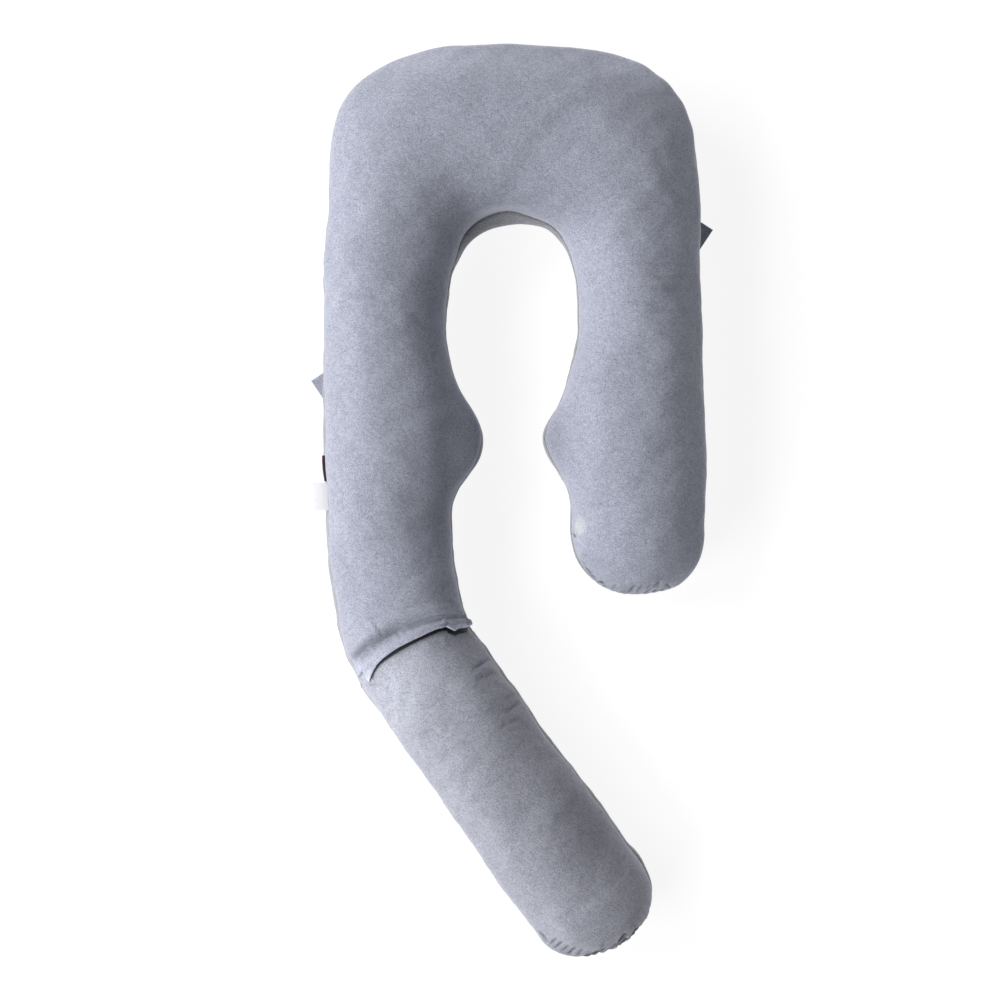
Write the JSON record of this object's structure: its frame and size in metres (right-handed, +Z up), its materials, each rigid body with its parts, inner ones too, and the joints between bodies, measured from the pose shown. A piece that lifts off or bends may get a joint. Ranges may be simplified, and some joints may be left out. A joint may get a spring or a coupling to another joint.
{
  "type": "u-shaped body pillow with a zipped-on tail",
  "caption": "Stuffed velvet body pillow: a U of two legs and a head band, with a slanting lower section joined on under a placket.",
  "frame": {"origin": "middle of the pillow's box, on the surface that it lies on", "axes": "+Y towards the head band, +X towards the short leg, +Z up through the crown of the upper panel"},
  "size_m": [0.6602, 1.4462, 0.1801],
  "materials": {
    "cover_velvet": "short grey-blue velvet pile, brushed, with a pale sheen at grazing angles",
    "flap_velvet": "the same velvet, folded and hemmed",
    "strap_velvet": "the same velvet, doubled flat",
    "label_satin": "smooth white satin, bare",
    "tab_weave": "black tape with a thin red edge"
  },
  "bodies": {
    "root": {"pillow_body": "cover_velvet", "pillow_tail": "cover_velvet", "joint_flap": "flap_velvet", "strap_right": "strap_velvet", "strap_left": "strap_velvet", "side_label": "label_satin", "seam_tab": "tab_weave"}
  },
  "joints": []
}
